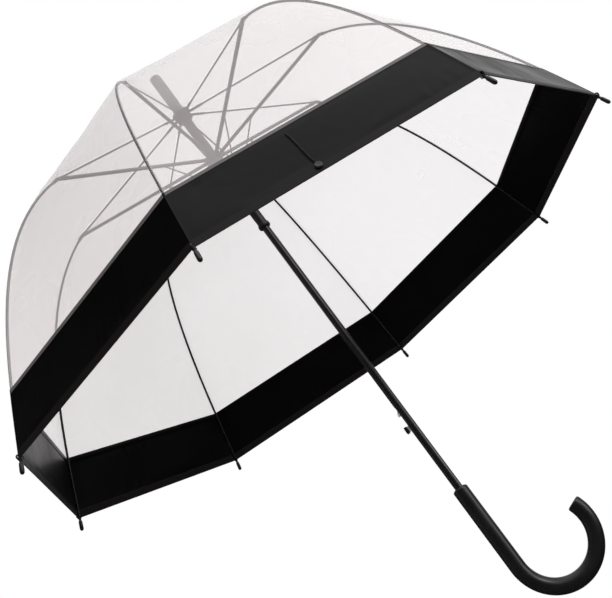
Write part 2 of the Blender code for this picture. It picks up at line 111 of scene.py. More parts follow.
class Shape:
    """Vertices and faces gathered from several simple forms, for one mesh."""

    def __init__(self):
        self.verts = []
        self.faces = []

    def add(self, verts, faces):
        base = len(self.verts)
        self.verts += [tuple(v) for v in verts]
        self.faces += [[base + i for i in face] for face in faces]

    def rows(self, rows, closed=False, caps=False, loop=False):
        """Skins rows of points. Each row is closed or not, and loop joins the last row to the first."""
        count = len(rows[0])
        faces = []
        last = len(rows) if loop else len(rows) - 1
        for i in range(last):
            for j in range(count if closed else count - 1):
                a, b = i * count, (i + 1) % len(rows) * count
                k = (j + 1) % count
                faces.append([a + j, a + k, b + k, b + j])
        if caps:
            faces.append(list(range(count))[::-1])
            faces.append([(len(rows) - 1) * count + j for j in range(count)])
        self.add([point for row in rows for point in row], faces)

    def sweep(self, line, section, scales=None):
        """A bar along (x, z) points in the X-Z plane. The section has (side, up) points."""
        rows = []
        for i, here in enumerate(line):
            run = Vector(line[min(i + 1, len(line) - 1)]) - Vector(line[max(i - 1, 0)])
            run.normalize()
            wide, tall = scales[i] if scales else (1.0, 1.0)
            row = [(here[0] - u * tall * run.y, s * wide, here[1] + u * tall * run.x) for s, u in section]
            rows.append(row)
        self.rows(rows, closed=True, caps=True)

    def turned(self, outline, sides=48, centre=(0.0, 0.0, 0.0), axis="Z", ring=False):
        """A turned form from (radius, height) points, closed at its ends. A ring has a bore instead."""
        rows = []
        for radius, height in outline:
            row = []
            for i in range(sides):
                a = 2 * math.pi * i / sides
                c, s = max(radius, 1e-6) * math.cos(a), max(radius, 1e-6) * math.sin(a)
                point = (c, s, height) if axis == "Z" else (c, height, -s)
                row.append(Vector(point) + Vector(centre))
            rows.append(row)
        self.rows(rows, closed=True, caps=not ring, loop=ring)

    def wire(self, points, radius, sides=10, loop=False):
        """A round wire along 3D points."""
        points = [Vector(p) for p in points]
        count = len(points)
        rows = []
        normal = None
        for i, here in enumerate(points):
            ahead = points[(i + 1) % count] if loop else points[min(i + 1, count - 1)]
            behind = points[i - 1] if loop else points[max(i - 1, 0)]
            run = (ahead - behind).normalized()
            if normal is None:
                normal = run.orthogonal()
            normal = (normal - normal.dot(run) * run).normalized()
            other = run.cross(normal)
            row = []
            for j in range(sides):
                a = 2 * math.pi * j / sides
                row.append(here + radius * (math.cos(a) * normal + math.sin(a) * other))
            rows.append(row)
        self.rows(rows, closed=True, caps=not loop, loop=loop)

    def plate(self, outline, low, high):
        """A flat plate from a convex outline of (x, z) points, between two values of y."""
        rows = [[(x, y, z) for x, z in outline] for y in (low, high)]
        self.rows(rows, closed=True, caps=True)

    def mesh(self, name, sharp=40):
        made = bpy.data.meshes.new(name)
        made.from_pydata(self.verts, [], self.faces)
        made.validate()
        made.shade_smooth()
        made.set_sharp_from_angle(angle=math.radians(sharp))
        return made


def circle(radius, sides=16):
    return [
        (radius * math.sin(2 * math.pi * i / sides), radius * math.cos(2 * math.pi * i / sides))
        for i in range(sides)
    ]


def round_end(start, end, radius, steps=6):
    """Outline of a bar with round ends between two (x, z) points."""
    heading = math.atan2(end[1] - start[1], end[0] - start[0])
    points = []
    for (x, z), turn in ((end, heading), (start, heading + math.pi)):
        for i in range(2 * steps + 1):
            a = turn - math.pi / 2 + math.pi * i / (2 * steps)
            points.append((x + radius * math.cos(a), z + radius * math.sin(a)))
    return points


def towards(start, end, distance):
    start, end = Vector(start), Vector(end)
    return start + distance * (end - start).normalized()


def piece(name, mesh, material, body, azimuth=0.0, replaces=()):
    """A named piece that rides on a body."""
    if not mesh.materials:
        mesh.materials.append(material)
    obj = bpy.data.objects.new(name, mesh)
    obj.rotation_euler.z = azimuth
    bpy.context.scene.collection.objects.link(obj)
    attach(obj, body)
    if replaces:
        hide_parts(*replaces)
    return obj


def smooth_step(x, low, high):
    x = min(1.0, max(0.0, (x - low) / (high - low)))
    return x * x * (3 - 2 * x)


# Materials ----------------------------------------------------------------------------------------


class Nodes:
    """A material's node tree, with short calls for what the materials here use."""

    def __init__(self, name, **values):
        self.material = bpy.data.materials.new(name)
        self.material.use_nodes = True
        self.tree = self.material.node_tree
        self.shader = self.tree.nodes["Principled BSDF"]
        for socket, value in values.items():
            self.shader.inputs[socket.replace("_", " ")].default_value = value

    def node(self, kind, **settings):
        made = self.tree.nodes.new(kind)
        for name, value in settings.items():
            setattr(made, name, value)
        return made

    def link(self, output, target):
        self.tree.links.new(output, target)

    def coordinates(self, scale=(1, 1, 1)):
        source = self.node("ShaderNodeTexCoord")
        mapping = self.node("ShaderNodeMapping")
        mapping.inputs["Scale"].default_value = scale
        self.link(source.outputs["Object"], mapping.inputs["Vector"])
        return mapping.outputs["Vector"]

    def noise(self, scale, detail=3.0, roughness=0.5, vector=None, distortion=0.0):
        made = self.node("ShaderNodeTexNoise")
        made.inputs["Scale"].default_value = scale
        made.inputs["Detail"].default_value = detail
        made.inputs["Roughness"].default_value = roughness
        made.inputs["Distortion"].default_value = distortion
        self.link(vector or self.coordinates(), made.inputs["Vector"])
        return made.outputs["Fac"]

    def between(self, value, low, high, from_low=0.3, from_high=0.7):
        """The value, mapped to run from low to high."""
        made = self.node("ShaderNodeMapRange")
        made.inputs["From Min"].default_value = from_low
        made.inputs["From Max"].default_value = from_high
        made.inputs["To Min"].default_value = low
        made.inputs["To Max"].default_value = high
        self.link(value, made.inputs["Value"])
        return made.outputs["Result"]

    def colours(self, value, low, high, target="Base Color"):
        made = self.node("ShaderNodeMix", data_type="RGBA")
        made.inputs["A"].default_value = (*low, 1.0)
        made.inputs["B"].default_value = (*high, 1.0)
        self.link(value, made.inputs["Factor"])
        self.link(made.outputs["Result"], self.shader.inputs[target])

    def set(self, value, target):
        self.link(value, self.shader.inputs[target])

    def bump(self, heights):
        """Bump from (height, distance) pairs, chained."""
        normal = None
        for height, distance in heights:
            made = self.node("ShaderNodeBump")
            made.inputs["Distance"].default_value = distance
            self.link(height, made.inputs["Height"])
            if normal:
                self.link(normal, made.inputs["Normal"])
            normal = made.outputs["Normal"]
        self.link(normal, self.shader.inputs["Normal"])


def film_material():
    """Clear vinyl film: a glossy, faintly milky sheet with soft clouds and soft handling creases."""
    m = Nodes("clear_film", IOR=1.45, Specular_IOR_Level=0.3)
    cloud = m.noise(9.0, 2.0)
    m.colours(cloud, (0.84, 0.81, 0.815), (0.92, 0.90, 0.905))
    m.set(m.between(m.noise(18.0, 1.0, distortion=0.4), 0.26, 0.31), "Roughness")
    haze = m.node("ShaderNodeMath", operation="ADD")
    place = m.node("ShaderNodeSeparateXYZ")
    m.link(m.node("ShaderNodeNewGeometry").outputs["Position"], place.inputs["Vector"])
    # The haze falls off to one side. This imitates the light in the studio, and isn't the film's own
    m.link(m.between(place.outputs["X"], 0.42, 0.30, -0.25, 0.15), haze.inputs[0])
    m.link(m.between(cloud, -0.02, 0.03), haze.inputs[1])
    m.set(haze.outputs["Value"], "Alpha")
    m.bump([(m.noise(14.0, 0.5, distortion=0.4), 0.0016), (m.noise(45.0, 0.0), 0.00015)])
    return m.material


def seam_material():
    """The seam over a rib, where the film lies on the rod and shows it clearly."""
    m = Nodes("film_seam", IOR=1.45)
    fine = m.noise(220.0, 1.0)
    m.colours(fine, (0.74, 0.73, 0.73), (0.84, 0.83, 0.83))
    m.set(m.between(fine, 0.2, 0.32), "Roughness")
    m.set(m.between(fine, 0.08, 0.13), "Alpha")
    m.bump([(fine, 0.00005)])
    return m.material


def border_material(name="black_film", low=0.0018, high=0.0032, rough=(0.28, 0.38)):
    """Black vinyl border: satin, with a fine calendered grain and soft handling marks."""
    m = Nodes(name, IOR=1.5, Specular_IOR_Level=0.12)
    cloud = m.noise(16.0, 3.0)
    grain = m.noise(900.0, 2.0)
    m.colours(cloud, (low * 1.08, low, low * 0.97), (high * 1.1, high, high * 0.96))
    m.set(m.between(cloud, *rough), "Roughness")
    m.bump([(m.noise(42.0, 1.0, distortion=0.5), 0.0004), (grain, 0.000006)])
    return m.material


def weld_material():
    """Clear film welded over the border's edge: dark grey, with the weld's fine pressed pattern."""
    m = Nodes("film_weld", IOR=1.45)
    grain = m.noise(500.0, 3.0)
    cloud = m.noise(40.0, 2.0)
    m.colours(cloud, (0.080, 0.078, 0.078), (0.130, 0.128, 0.128))
    m.set(m.between(grain, 0.28, 0.42), "Roughness")
    m.bump([(grain, 0.00004)])
    return m.material


def plastic_material(name="black_plastic", low=0.007, high=0.012, rough=(0.30, 0.40)):
    """Moulded black plastic: satin, with a very fine spark-eroded grain."""
    m = Nodes(name, IOR=1.5)
    cloud = m.noise(30.0, 3.0)
    m.colours(cloud, (low, low, low), (high, high, high * 1.03))
    m.set(m.between(cloud, *rough), "Roughness")
    m.bump([(m.noise(900.0, 2.0), 0.000012)])
    return m.material


def lacquer_material():
    """Black lacquer on drawn steel: smooth, with faint lines along the tube."""
    m = Nodes("black_lacquer", IOR=1.55)
    cloud = m.noise(25.0, 3.0)
    lines = m.noise(1.0, 2.0, vector=m.coordinates((1800, 1800, 14)))
    m.colours(cloud, (0.007, 0.007, 0.0075), (0.014, 0.014, 0.015))
    m.set(m.between(lines, 0.20, 0.32), "Roughness")
    m.bump([(lines, 0.000004)])
    return m.material


def steel_material():
    """Nickel-plated steel with fine drawn lines."""
    m = Nodes("bright_steel", Metallic=0.25)
    lines = m.noise(1.0, 3.0, vector=m.coordinates((2500, 2500, 90)))
    m.colours(lines, (0.66, 0.64, 0.61), (0.82, 0.80, 0.76))
    m.set(m.between(lines, 0.22, 0.36), "Roughness")
    m.bump([(lines, 0.000006)])
    return m.material


def webbing_material():
    """The closing strap: a narrow woven band."""
    m = Nodes("strap_webbing", IOR=1.45)
    weave = m.node("ShaderNodeTexWave", wave_type="BANDS", bands_direction="DIAGONAL")
    weave.inputs["Scale"].default_value = 900.0
    m.link(m.coordinates(), weave.inputs["Vector"])
    m.colours(weave.outputs["Fac"], (0.003, 0.003, 0.003), (0.009, 0.0085, 0.008))
    m.set(m.between(weave.outputs["Fac"], 0.6, 0.8, 0.0, 1.0), "Roughness")
    m.bump([(weave.outputs["Fac"], 0.0002)])
    return m.material


FILM = film_material()
FILM_SEAM = seam_material()
BORDER = border_material()
HEM_FILM = border_material("black_film_hem", 0.007, 0.010, (0.40, 0.50))
WELD_STRIP = weld_material()
PLASTIC = plastic_material()
LACQUER = lacquer_material()
STEEL = steel_material()
WEBBING = webbing_material()

# Canopy -------------------------------------------------------------------------------------------


def outer_rib(t):
    """Point (radius, z) on the outer rib's centre line, from its joint (t = 0) to the rim (t = 1)."""
    first = RIB_JOINT + RIB_HANDLE * Vector((math.cos(RIB_START_SLOPE), -math.sin(RIB_START_SLOPE)))
    last = RIM - RIB_HANDLE * Vector((math.cos(RIB_END_SLOPE), -math.sin(RIB_END_SLOPE)))
    s = 1 - t
    return s**3 * RIB_JOINT + 3 * s * s * t * first + 3 * s * t * t * last + t**3 * RIM


def outer_slope(t):
    step = 1e-4
    run = outer_rib(min(t + step, 1.0)) - outer_rib(max(t - step, 0.0))
    return math.atan2(-run.y, run.x)


def lifted(point, slope, distance):
    """The (radius, z) point moved square to a line of that slope, away from the umbrella's inside."""
    return Vector((point[0] + distance * math.sin(slope), point[1] + distance * math.cos(slope)))


INNER_RUN = RIB_JOINT - CROWN_PIVOT
INNER_SLOPE = math.atan2(-INNER_RUN.y, INNER_RUN.x)
JOINT_LIFT = 0.0024  # from a rib's centre line to the film, over the joint and over the rod
ROD_LIFT = 0.0017
CAP_FILM = Vector((0.0058, CAP_LOW - 0.0004))


def outer_seam(t):
    """(point, slope) of the film's seam over the outer rib."""
    lift = ROD_LIFT + (JOINT_LIFT - ROD_LIFT) * (1 - smooth_step(t, 0.02, 0.20))
    slope = outer_slope(t)
    if t < 0.12:
        slope += (INNER_SLOPE - slope) / 2 * (1 - smooth_step(t, 0.0, 0.12))
    return lifted(outer_rib(t), slope, lift), slope


def inner_seam(s):
    """(point, slope) of the seam over the inner rib, from the cap (s = 0) to the rib joint (s = 1)."""
    joint = outer_seam(0.0)[0]
    clear = lifted(CROWN_PIVOT + 0.08 * INNER_RUN, INNER_SLOPE, JOINT_LIFT + 0.0004)
    share = 0.10
    if s < share:
        point = CAP_FILM.lerp(clear, s / share)
        run = clear - CAP_FILM
    else:
        point = clear.lerp(joint, (s - share) / (1 - share))
        run = joint - clear
    slope = math.atan2(-run.y, run.x)
    return point, slope + (outer_seam(0.0)[1] - slope) * smooth_step(s, 0.9, 1.0)


def stations(seam, count, start=0.0, end=1.0):
    """Stations along a seam: (point, slope, distance run)."""
    found = []
    run = 0.0
    for i in range(count + 1):
        point, slope = seam(start + (end - start) * i / count)
        if found:
            run += (point - found[-1][0]).length
        found.append((point, slope, run))
    return found


def waves(x, y, seed):
    """A smooth random height, about -0.5 to 0.5."""
    return noise.noise(Vector((x, y, 7.3 * seed)))


def film_relief(run, total, across, half_width, seed):
    """Height of the clear film's soft slack and creases. It is 0 at the film's edges."""
    edge = 1 - abs(across) / half_width
    hold = smooth_step(edge, 0.0, 0.25) * smooth_step(run, 0, 0.03) * smooth_step(total - run, 0, 0.03)
    soft = 0.0016 * waves(run * 14, across * 18, seed)
    crease = 0.0004 * waves(run * 60 + across * 25, across * 55, seed + 40)
    return hold * (soft + crease)


def border_relief(run, total, across, half_width, seed):
    """Height of the border's puckers, which run out of its weld and its hem, and its slack between ribs."""
    edge = smooth_step(1 - abs(across) / half_width, 0.0, 0.10)
    inside = smooth_step(run, WELD, WELD + 0.008) * smooth_step(total - run, HEM, HEM + 0.008)
    along = across + 0.25 * run
    pucker = waves(along * 130, run * 14, seed) + 0.5 * waves(along * 290, run * 22, seed + 9)
    patch = smooth_step(waves(across * 11, 0.4, seed + 5), -0.18, 0.30)
    weld = math.exp(-run / 0.016)
    hem = math.exp(-max(0.0, total - run - HEM) / 0.012)
    slack = 0.0014 * waves(across * 9, run * 12, seed + 20)
    return edge * inside * (0.0012 * pucker * patch * max(weld, 0.8 * hem) + slack)


def gore_point(station, across, height=0.0):
    """A point of the gore at azimuth 0. Across runs from -1 at one seam to 1 at the other."""
    point, slope, _ = station
    placed = lifted((point.x * math.cos(HALF), point.y), slope, height)
    side = across * (point.x * math.sin(HALF) - SEAM * 0.55)
    return Vector((placed.x, side, placed.y))


def gore_sheet(line, columns, relief, seed):
    """A sheet between two seams, as a Shape."""
    shape = Shape()
    total = line[-1][2]
    rows = []
    for station in line:
        half_width = station[0].x * math.sin(HALF)
        row = []
        for j in range(columns + 1):
            share = 2 * j / columns - 1
            height = relief(station[2], total, share * half_width, half_width, seed)
            row.append(gore_point(station, share, height))
        rows.append(row)
    shape.rows(rows)
    return shape


def strip_on_gore(line, start, end, columns, relief, seed, lifts, total):
    """A strip along the border between two distances, as a Shape. Lifts has (share, lift) points."""
    shape = Shape()
    rows = []
    for share, lift in lifts:
        run = start + (end - start) * share
        station = station_at(line, run)
        half_width = station[0].x * math.sin(HALF)
        row = []
        for j in range(columns + 1):
            place = 2 * j / columns - 1
            height = relief(run, total, place * half_width, half_width, seed) + lift
            row.append(gore_point(station, place, height))
        rows.append(row)
    shape.rows(rows)
    return shape


def station_at(line, run):
    """The station at a distance along the line, between two of its stations."""
    for before, after in zip(line, line[1:]):
        if run <= after[2]:
            break
    share = (run - before[2]) / (after[2] - before[2])
    return before[0].lerp(after[0], share), before[1] + (after[1] - before[1]) * share, run


# Sections of the strips along the border: (share of the strip's width, height off the gore)
WELD_LIFTS = [(0.0, 0.0001), (0.04, 0.0004), (0.5, 0.00045), (0.96, 0.0004), (1.0, 0.0001)]
WELD_INSIDE_LIFTS = [(0.0, -0.0001), (0.05, -0.0004), (0.95, -0.0004), (1.0, -0.0001)]
HEM_LIFTS = [(0.0, 0.0001), (0.04, 0.0005), (0.96, 0.0005), (1.0, 0.0)]
HEM_LIFTS += [(0.96, -0.0005), (0.04, -0.0005), (0.0, -0.0001)]


def fold_flat(obj):
    """Gives the piece its own copy of its mesh."""
    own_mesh(obj)


def make_gore(gore):
    azimuth = FIRST_RIB + (gore - 0.5) * SECTOR
    top, side = f"canopy_top_{gore}", f"canopy_side_{gore}"

    top_line = stations(inner_seam, 20)
    film = piece(
        f"film_top_{gore}",
        gore_sheet(top_line, 24, film_relief, gore).mesh("film_top"),
        FILM, top, azimuth, (top,),
    )  # fmt: skip
    fold_flat(film)

    side_line = stations(outer_seam, 40, 0.0, BORDER_START)
    film = piece(
        f"film_side_{gore}",
        gore_sheet(side_line, 48, film_relief, gore + 10).mesh("film_side"),
        FILM, side, azimuth, (side,),
    )  # fmt: skip
    fold_flat(film)

    border_line = stations(outer_seam, 26, BORDER_START, 1.0)
    total = border_line[-1][2]
    border = piece(
        f"border_{gore}",
        gore_sheet(border_line, 130, border_relief, gore).mesh("border"),
        BORDER, side, azimuth,
    )  # fmt: skip
    strips = [
        ("weld", 0.0, WELD, WELD_LIFTS, WELD_STRIP),
        ("weld_inside", 0.0, WELD_INSIDE, WELD_INSIDE_LIFTS, BORDER),
        ("hem", total - HEM, total + HEM_OVERHANG, HEM_LIFTS, HEM_FILM),
    ]
    made = []
    for name, start, end, lifts, material in strips:
        shape = strip_on_gore(border_line, start, end, 130, border_relief, gore, lifts, total)
        made.append(piece(f"{name}_{gore}", shape.mesh(name), material, side, azimuth))
    for obj in (border, *made):
        fold_flat(obj)


def seam_ridge(line, half_width, lift):
    """A narrow strip over a rib: it lies on both gores, at azimuth 0, with a soft ridge between them."""
    shape = Shape()
    rows = []
    for point, slope, _ in line:
        # The gore's plane falls away from the rib by this much for each metre across
        fall = math.tan(HALF)
        row = []
        for share in (-1.0, -0.5, -0.18, 0.0, 0.18, 0.5, 1.0):
            side = share * half_width
            drop = abs(side) * fall * math.sin(slope) - (0.00012 if share == 0.0 else 0.0)
            place = lifted(point, slope, lift - drop)
            row.append((place.x, side, place.y))
        rows.append(row)
    shape.rows(rows)
    return shape


def make_seams():
    inner = seam_ridge(stations(inner_seam, 12, 0.06, 1.0), 0.0020, 0.0002).mesh("seam_top")
    outer = seam_ridge(stations(outer_seam, 40, 0.0, BORDER_START), 0.0020, 0.0002).mesh("seam_side")
    border = seam_ridge(stations(outer_seam, 16, BORDER_START, 1.0), 0.0020, 0.0003).mesh("seam_border")
    for i in range(RIBS):
        azimuth = FIRST_RIB + i * SECTOR
        n = i + 1
        piece(f"seam_top_{n}", inner, FILM_SEAM, f"rib_inner_{n}", azimuth)
        piece(f"seam_side_{n}", outer, FILM_SEAM, f"rib_outer_{n}", azimuth)
        piece(f"seam_border_{n}", border, BORDER, f"rib_outer_{n}", azimuth)


# Frame --------------------------------------------------------------------------------------------


def rivet(shape, place, reach, radius=0.0011, head=0.0004):
    """A rivet through (x, z), along Y, with a low domed head at each side."""
    outline = [(0.0, -reach - head), (0.6 * radius, -reach - 0.85 * head), (radius, -reach - 0.3 * head)]
    outline += [(radius, -reach), (0.55 * radius, -reach)]
    outline += [(r, -h) for r, h in reversed(outline)]
    shape.turned(outline, sides=14, centre=(place[0], 0.0, place[1]), axis="Y")


def lofted(shape, start, end, steps, sides=16):
    """A round bar from (distance, half width, half height) steps between two (x, z) points."""
    line = [towards(start, end, distance) for distance, _, _ in steps]
    shape.sweep(line, circle(1.0, sides), [(wide, tall) for _, wide, tall in steps])


def rib_inner_mesh():
    shape = Shape()
    start, end = CROWN_PIVOT, RIB_JOINT
    length = (end - start).length
    shape.plate(round_end(start, towards(start, end, 0.0095), 0.0016), -0.0009, 0.0009)
    steps = [(0.0085, 0.0009, 0.0014), (0.0100, 0.0011, 0.0015), (0.0108, 0.0017, 0.0017)]
    steps += [(0.0112, 0.0018, 0.0018), (0.0218, 0.0018, 0.0018), (0.0222, 0.0017, 0.0017)]
    steps += [(0.0224, 0.00125, 0.00125), (0.0300, 0.0012, 0.0012), (length - 0.0130, 0.0012, 0.0012)]
    steps += [(length - 0.0085, 0.0008, 0.0015), (length - 0.0065, 0.0005, 0.0016)]
    lofted(shape, start, end, steps)
    shape.plate(round_end(towards(end, start, 0.0070), end, 0.0016), -0.0005, 0.0005)
    return shape.mesh("rib_inner")


TIP_NECK = 0.0020
TIP_END = 0.0160


def rib_outer_mesh():
    shape = Shape()
    heading = towards((0, 0), outer_rib(0.05) - outer_rib(0), 1.0)
    joint = RIB_JOINT
    for side in (-1, 1):
        low, high = sorted((side * 0.00075, side * 0.00125))
        shape.plate(round_end(joint, joint + 0.0060 * heading, 0.0019), low, high)
    clip = [(0.0036, 0.00122, 0.0018), (0.0040, 0.00125, 0.0019), (0.0110, 0.00125, 0.0019)]
    clip += [(0.0118, 0.0013, 0.0015), (0.0124, 0.0012, 0.0012)]
    lofted(shape, joint, joint + heading, clip)
    count = 64
    line = [outer_rib(0.03 + 0.97 * i / count) for i in range(count + 1)]
    along = Vector((math.cos(RIB_END_SLOPE), -math.sin(RIB_END_SLOPE)))
    line.append(RIM + TIP_NECK * along)
    shape.sweep(line, circle(0.00155, 14))
    return shape.mesh("rib_outer")


def tip_mesh():
    """The plastic tip on a rib's end: a collar, a round end and an eye that holds the film's corner."""
    shape = Shape()
    along = Vector((math.cos(RIB_END_SLOPE), -math.sin(RIB_END_SLOPE)))
    collar = [(-0.0010, 0.0013), (-0.0006, 0.0021), (0.0008, 0.0022), (0.0012, 0.0017), (0.0032, 0.0016)]
    barrel = [(0.0038, 0.0021), (0.0046, 0.0024), (0.0120, 0.00255), (0.0140, 0.0024), (0.0152, 0.0019)]
    barrel += [(0.0158, 0.0012), (TIP_END, 0.0003)]
    steps = [(distance + 0.001, radius, radius) for distance, radius in collar + barrel]
    lofted(shape, RIM - 0.001 * along, RIM + along, steps, sides=24)
    centre = RIM - 0.0030 * along + 0.0016 * Vector((math.sin(RIB_END_SLOPE), math.cos(RIB_END_SLOPE)))
    ring = []
    for i in range(20):
        a = 2 * math.pi * i / 20
        ring.append((centre.x + 0.0020 * math.cos(a), 0.0, centre.y + 0.0020 * math.sin(a)))
    shape.wire(ring, 0.0010, 10, loop=True)
    return shape.mesh("tip")


def stitches_mesh():
    """Thread that ties the film's corner to the eye of its tip."""
    shape = Shape()
    for turn in (-1.0, -0.5, 0.0, 0.5, 1.0):
        points = []
        for i in range(14):
            a = 2 * math.pi * i / 14
            x = RIM.x - 0.0006 + 0.0031 * math.cos(a)
            z = RIM.y + 0.0012 + 0.0022 * math.sin(a)
            points.append((x, 0.0007 * turn, z))
        shape.wire(points, 0.00022, 6, loop=True)
    return shape.mesh("stitches")


def stretcher_mesh():
    """A steel channel, open downwards, with flat ears at both ends and its rivets."""
    shape = Shape()
    start, end = RUNNER_PIVOT, RIB_JOINT
    length = (end - start).length
    low, high, wide, wall = -0.0015, 0.0017, 0.0020, 0.0005
    bend = 0.0005
    section = [(-wide, low), (-wide, high - bend)]
    section += [(-wide + 0.3 * bend, high - 0.3 * bend), (-wide + bend, high)]
    section += [(-s, u) for s, u in reversed(section)]
    inner = [(wide - wall, low), (wide - wall, high - bend)]
    inner += [(-wide + wall, high - bend), (-wide + wall, low)]
    line = [towards(start, end, d) for d in (0.0034, 0.5 * length, length - 0.0100)]
    shape.sweep(line, section + inner)
    for side in (-1, 1):
        inside, outside = sorted((side * 0.0015, side * 0.0020))
        for eye, into in ((start, end), (end, start)):
            reach = 0.0060 if eye == start else 0.0120
            shape.plate(round_end(eye, towards(eye, into, reach), 0.0016), inside, outside)
    rivet(shape, end, 0.0020)
    rivet(shape, STAY_PIN, 0.0020, 0.0009, 0.0003)
    return shape.mesh("stretcher")


def stay_mesh():
    shape = Shape()
    start, end = STAY_PIN, STAY_END
    length = (end - start).length
    shape.plate(round_end(start, towards(start, end, 0.003), 0.0012), -0.0007, 0.0007)
    shape.plate(round_end(end, towards(end, start, 0.003), 0.0012), -0.0007, 0.0007)
    steps = [(0.0020, 0.0006, 0.0010), (0.0060, 0.0009, 0.0009), (length - 0.0060, 0.0009, 0.0009)]
    steps += [(length - 0.0020, 0.0006, 0.0010)]
    lofted(shape, start, end, steps, 12)
    return shape.mesh("stay")


def make_frame():
    meshes = {
        "rib_inner": rib_inner_mesh(),
        "rib_outer": rib_outer_mesh(),
        "stretcher": stretcher_mesh(),
        "stay": stay_mesh(),
    }
    tip = tip_mesh()
    stitches = stitches_mesh()
    for i in range(RIBS):
        azimuth = FIRST_RIB + i * SECTOR
        for family, mesh in meshes.items():
            node = f"{family}_{i + 1}"
            piece(f"{node}_bar", mesh, LACQUER, node, azimuth, (node,))
        body = f"rib_outer_{i + 1}"
        piece(f"tip_{i + 1}", tip, PLASTIC, body, azimuth)
        piece(f"stitches_{i + 1}", stitches, WEBBING, body, azimuth)


# Shaft, handle, spring and small parts ------------------------------------------------------------


def make_handle():
    edge = 0.0024
    line, scales = [], []
    for i in range(7):
        a = math.pi / 2 * i / 6
        line.append((0.0, GRIP_TOP - edge * (1 - math.sin(a))))
        scales.append(1 - edge / GRIP_RADIUS * (1 - math.cos(a)))
    line, scales = line[::-1], scales[::-1]
    line += [(0.0, GRIP_TOP - 0.02), (0.0, 0.0), (0.0, CROOK_START_Z + 0.01)]
    scales += [1.0, 1.0, 1.0]
    count = 72
    for i in range(count + 1):
        a = CROOK_SWEEP * i / count
        line.append((CROOK_RADIUS * (1 - math.cos(a)), CROOK_START_Z - CROOK_RADIUS * math.sin(a)))
        scales.append(1.0)
    end = Vector(line[-1])
    along = Vector((math.sin(CROOK_SWEEP), -math.cos(CROOK_SWEEP)))
    for i in range(1, 9):
        a = math.pi / 2 * i / 8
        line.append(end + edge * math.sin(a) * along)
        scales.append(1 - edge / GRIP_RADIUS * (1 - math.cos(a)))
    shape = Shape()
    shape.sweep(line, circle(GRIP_RADIUS, 48), [(s, s) for s in scales])
    piece("handle", shape.mesh("handle"), PLASTIC, "shaft", 0.0, ("crook_handle",))
    collar = Shape()
    outline = [(SHAFT_RADIUS + 0.0003, GRIP_TOP + 0.0002), (0.0066, GRIP_TOP + 0.0006)]
    outline += [(0.0071, GRIP_TOP + 0.0002), (0.0071, GRIP_TOP - 0.0010)]
    outline += [(SHAFT_RADIUS + 0.0003, GRIP_TOP - 0.0010)]
    collar.turned(outline, ring=True)
    piece("grip_collar", collar.mesh("grip_collar"), PLASTIC, "shaft")


def make_ferrule():
    top, low = FERRULE_HIGH, FERRULE_LOW
    outline = [(0.0052, low), (0.0091, low), (0.0092, low + 0.0016), (0.0088, low + 0.0024)]
    outline += [(0.0079, low + 0.0032), (0.0075, low + 0.0042), (0.0074, low + 0.0080)]
    outline += [(0.0071, low + 0.0084), (0.0071, low + 0.0096), (0.0074, low + 0.0100)]
    outline += [(0.0077, top - 0.0240), (0.0076, top - 0.0080), (0.0074, top - 0.0030)]
    outline += [(0.0071, top - 0.0014), (0.0065, top - 0.0005), (0.0057, top), (0.0, top)]
    shape = Shape()
    shape.turned(outline)
    piece(
        "ferrule_end", shape.mesh("ferrule_end"), PLASTIC, "shaft", 0.0, ("ferrule",)
    )


def make_spring():
    wire, coil, turns, steps = 0.0005, 0.0067, 8, 28
    low, high = SPRING_LOW + wire, SPRING_HIGH - wire
    points = []
    for i in range(turns * steps + 1):
        turn = i / steps
        share = smooth_step(turn, 0.0, turns) * 0.35 + 0.65 * turn / turns
        a = 2 * math.pi * turn
        points.append((coil * math.cos(a), coil * math.sin(a), low + (high - low) * share))
    shape = Shape()
    shape.wire(points, wire)
    spring = piece(
        "spring", shape.mesh("spring"), STEEL, "upper_runner", 0.0, ("opening_spring",)
    )
    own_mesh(spring)


def rounded_block(shape, low, high, radius, steps=4):
    """A block with its vertical edges and its ends rounded."""
    middle = [(a + b) / 2 for a, b in zip(low, high)]
    half = [(b - a) / 2 - radius for a, b in zip(low, high)]
    rows = []
    for level, up in ((-1, -half[2]), (1, half[2])):
        for i in range(steps + 1):
            a = math.pi / 2 * i / steps
            rise, grow = (math.cos(a), math.sin(a)) if level < 0 else (math.sin(a), math.cos(a))
            row = []
            for corner in range(4):
                for j in range(steps + 1):
                    b = math.pi / 2 * (corner + j / steps)
                    sx = 1 if corner in (0, 3) else -1
                    sy = 1 if corner in (0, 1) else -1
                    x = middle[0] + sx * half[0] + radius * grow * math.cos(b)
                    y = middle[1] + sy * half[1] + radius * grow * math.sin(b)
                    row.append((x, y, middle[2] + up + level * radius * rise))
            rows.append(row)
    shape.rows(rows, closed=True, caps=True)


